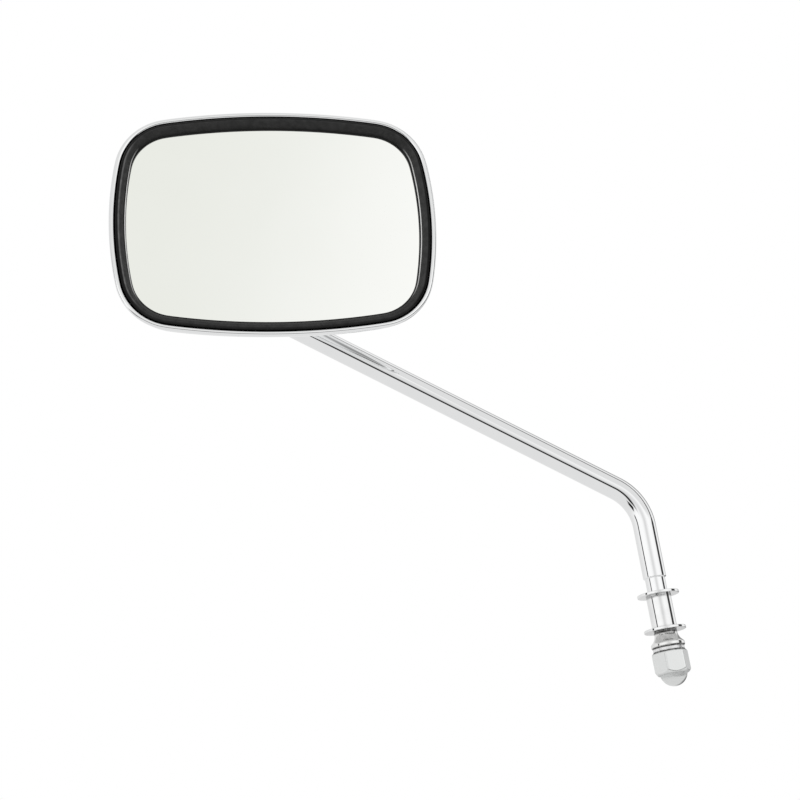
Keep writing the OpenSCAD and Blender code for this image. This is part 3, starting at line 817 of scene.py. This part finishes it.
def makeStem():
    rings = stemRings()
    piece = drawRings("stemBar", stem["sides"], stem["radius"], len(rings))
    levels = [[] for _ in rings]
    for vertex in piece.data.vertices:
        levels[ringOf(vertex)].append(vertex)
    # Each ring is carried to its place without a twist
    sideways = Vector((0, 0, 1))
    for level, (centre, direction, radius) in zip(levels, rings):
        sideways = (sideways - direction * sideways.dot(direction)).normalized()
        other = direction.cross(sideways)
        for vertex in level:
            flat = Vector((vertex.co.x, vertex.co.y)).normalized() * radius
            vertex.co = centre + sideways * flat.x + other * flat.y
    closeEnds(piece)
    evenNormals(piece, stem["smoothAngle"])
    takeOver(piece, "stem_arm")


makeStem()


# Turned hardware on the stud: each profile is spun about the stud's axis
hardware = {
    "holeRadius": 0.0042,
    "spinSteps": 96,
    "edgeSegments": 3,
    "mergeDistance": 0.000003,
    "smoothAngle": 32,
    "grip": 0.0151,
    "washer": {"radius": 0.0096, "thickness": 0.0013, "seat": 0.0003, "seatGap": 0.0001, "edge": 0.00028},
    "sleeve": {"radius": 0.0057, "edge": 0.00012},
    "collar": {
        "radius": 0.0077, "topRadius": 0.00525, "height": 0.0074, "lip": 0.0022, "lipBend": 0.0007,
        "bendSteps": 5, "flareSteps": 12, "flarePower": 2.6, "topEdge": (0.0002, 0.0004),
    },
    "lock": {"radius": 0.0072, "thickness": 0.0019, "split": 12, "bearing": -25, "edge": 0.0002},
}
collarTop = -hardware["grip"] - hardware["washer"]["thickness"]
lockTop = collarTop - hardware["collar"]["height"]
nutTop = lockTop - hardware["lock"]["thickness"]


def spinProfile(name, profile, edge, sweep=360, bearing=0, square=()):
    # The profile's points are (radius, height) along the stud's axis. Those named as square aren't rounded.
    bpy.ops.object.select_all(action="DESELECT")
    bpy.ops.mesh.primitive_circle_add(vertices=len(profile), location=(0, 0, 0))
    piece = bpy.context.object
    piece.name = name
    start = math.radians(bearing)
    for vertex, (radius, height) in zip(piece.data.vertices, profile):
        vertex.co = (radius * math.cos(start), radius * math.sin(start), height)
    bpy.ops.object.mode_set(mode="EDIT")
    bpy.ops.mesh.select_mode(type="VERT")
    bpy.ops.mesh.select_all(action="DESELECT")
    bpy.ops.object.mode_set(mode="OBJECT")
    for vertex in piece.data.vertices:
        vertex.select = vertex.index not in square
    bpy.ops.object.mode_set(mode="EDIT")
    if edge:
        bpy.ops.mesh.bevel(offset=edge, segments=hardware["edgeSegments"], affect="VERTICES")
    bpy.ops.mesh.select_all(action="SELECT")
    if sweep < 360:
        bpy.ops.mesh.edge_face_add()
    turn = math.radians(sweep)
    bpy.ops.mesh.spin(steps=hardware["spinSteps"], angle=turn, center=(0, 0, 0), axis=(0, 0, 1))
    bpy.ops.mesh.select_all(action="SELECT")
    bpy.ops.mesh.remove_doubles(threshold=hardware["mergeDistance"])
    bpy.ops.mesh.normals_make_consistent(inside=False)
    bpy.ops.object.mode_set(mode="OBJECT")
    piece.data.transform(studTurn)
    evenNormals(piece, hardware["smoothAngle"])
    return piece


def makeWashers():
    washer, grip, hole = hardware["washer"], hardware["grip"], hardware["holeRadius"]
    radius, thick, seat = washer["radius"], washer["thickness"], washer["seat"]
    pocket = hardware["sleeve"]["radius"] + washer["seatGap"]
    upper = [(hole, thick), (radius, thick), (radius, 0), (pocket, 0), (pocket, seat), (hole, seat)]
    lower = [(out, -grip - height) for out, height in upper]
    pocketCorners = (3, 4)
    takeOver(spinProfile("upperWasher", upper, washer["edge"], square=pocketCorners), "upper_washer")
    takeOver(spinProfile("lowerWasher", lower, washer["edge"], square=pocketCorners), "lower_washer")


makeWashers()


def makeSleeve():
    sleeve, hole, high = hardware["sleeve"], hardware["holeRadius"], hardware["washer"]["seat"]
    low = -hardware["grip"] - high
    section = [(hole, high), (sleeve["radius"], high), (sleeve["radius"], low), (hole, low)]
    takeOver(spinProfile("spacerSleeve", section, sleeve["edge"]), "spacer_sleeve")


makeSleeve()


def makeCollar():
    collar, hole = hardware["collar"], hardware["holeRadius"]
    radius, top, tall = collar["radius"], collar["topRadius"], collar["height"]
    lip, bend = collar["lip"], collar["lipBend"]
    wayIn, drop = collar["topEdge"]
    quarter = [math.pi / 2 * step / collar["bendSteps"] for step in range(collar["bendSteps"] + 1)]
    section = [(hole, 0), (radius - bend, 0)]
    section += [(radius - bend + bend * math.sin(a), bend - bend * math.cos(a)) for a in quarter[1:]]
    # The lip's upper bend stops short, where the flare goes on in a hollow curve up to the neck
    section += [(radius - bend + bend * math.cos(a), lip - bend + bend * math.sin(a)) for a in quarter[:4]]
    neckTop = tall - drop
    for step in range(collar["flareSteps"], -1, -1):
        share = step / collar["flareSteps"]
        section.append((top + (radius - bend / 2 - top) * share ** collar["flarePower"],
                        neckTop - (neckTop - lip) * share))
    section += [(top - wayIn, tall), (hole, tall)]
    low = collarTop - tall
    piece = spinProfile("flaredCollar", [(out, low + height) for out, height in section], 0)
    takeOver(piece, "cone_collar")


makeCollar()


def makeLockWasher():
    lock, hole = hardware["lock"], hardware["holeRadius"]
    low = lockTop - lock["thickness"]
    section = [(hole, lockTop), (lock["radius"], lockTop), (lock["radius"], low), (hole, low)]
    piece = spinProfile("splitWasher", section, lock["edge"], 360 - lock["split"],
                        lock["bearing"] + lock["split"] / 2)
    takeOver(piece, "lock_washer")


makeLockWasher()


# Acorn nut: rings of one skin, hexagonal below the washer and domed at the foot
nut = {
    "flats": 0.0148,
    "height": 0.0104,
    "domeRadius": 0.00625,
    "domeRise": 0.0009,
    "domeAngles": (2, 90, 3),
    "domeEnd": -0.0002,
    "floorShares": (0.0, 0.15, 0.3, 0.5, 0.7, 0.85, 1.0),
    "floorLift": 0.00005,
    "capChamfer": 0.0016,
    "topSlope": 30,
    "chamferRounding": 0.00044,
    "cornerShare": 0.992,
    "cornerRounding": 0.00025,
    "hexRings": 40,
    "topGaps": (0.0001, 0.00003),
    "topShares": (1.0, 0.97, 0.9, 0.7),
    "sides": 240,
    "smoothAngle": 40,
}


def softLeast(a, b, width):
    # The smaller of two radii, with the corner between them rounded off
    mix = max(0.0, min(1.0, 0.5 + 0.5 * (b - a) / width))
    return b * (1 - mix) + a * mix - width * mix * (1 - mix)


def hexRadius(angle, height):
    # Out to the flats, their rounded corners and the chamfers at both ends
    half = nut["flats"] / 2
    corner = half / math.cos(math.pi / 6)
    turn = angle % (math.pi / 3) - math.pi / 6
    radius = softLeast(half / math.cos(turn), corner * nut["cornerShare"], nut["cornerRounding"])
    if height < nut["capChamfer"]:
        radius = softLeast(radius, corner - nut["capChamfer"] + height, nut["chamferRounding"])
    topCone = half + (nut["height"] - height) / math.tan(math.radians(nut["topSlope"]))
    return softLeast(radius, topCone, nut["chamferRounding"])


def nutRings():
    # (stretch of the skin, place along it) of each ring
    tall, steps = nut["height"], nut["hexRings"]
    angles = [math.radians(angle) for angle in range(*nut["domeAngles"])]
    heights = [nut["domeRise"] - nut["domeRadius"] * math.cos(angle) for angle in angles]
    rings = [("dome", height) for height in heights if height < nut["domeEnd"]]
    rings += [("floor", share) for share in nut["floorShares"]]
    rings += [("hex", tall * step / steps) for step in range(1, steps)]
    rings += [("hex", tall - gap) for gap in nut["topGaps"]]
    return rings + [("top", share) for share in nut["topShares"]]


def nutPlace(kind, value, angle):
    # (radius, height over the nut's flat foot)
    if kind == "dome":
        return math.sqrt(max(0.0, nut["domeRadius"] ** 2 - (value - nut["domeRise"]) ** 2)), value
    if kind == "floor":
        # From the dome's foot out to the hexagon's lower face
        inner = math.sqrt(nut["domeRadius"] ** 2 - nut["domeRise"] ** 2)
        outer = hexRadius(angle, nut["floorLift"])
        return inner + (outer - inner) * value, nut["floorLift"] * value
    if kind == "hex":
        return hexRadius(angle, value), value
    return hexRadius(angle, nut["height"]) * value, nut["height"]


def makeNut():
    rings = nutRings()
    low = nutTop - nut["height"]
    piece = drawRings("acornNut", nut["sides"], nut["flats"] / 2, len(rings))
    for vertex in piece.data.vertices:
        angle = math.atan2(vertex.co.y, vertex.co.x)
        radius, height = nutPlace(*rings[ringOf(vertex)], angle)
        vertex.co = (radius * math.cos(angle), radius * math.sin(angle), low + height)
    closeEnds(piece)
    piece.data.transform(studTurn)
    smoothByAngle(piece, nut["smoothAngle"])
    takeOver(piece, "acorn_nut")


makeNut()

bpy.context.scene.view_settings.view_transform = "Standard"
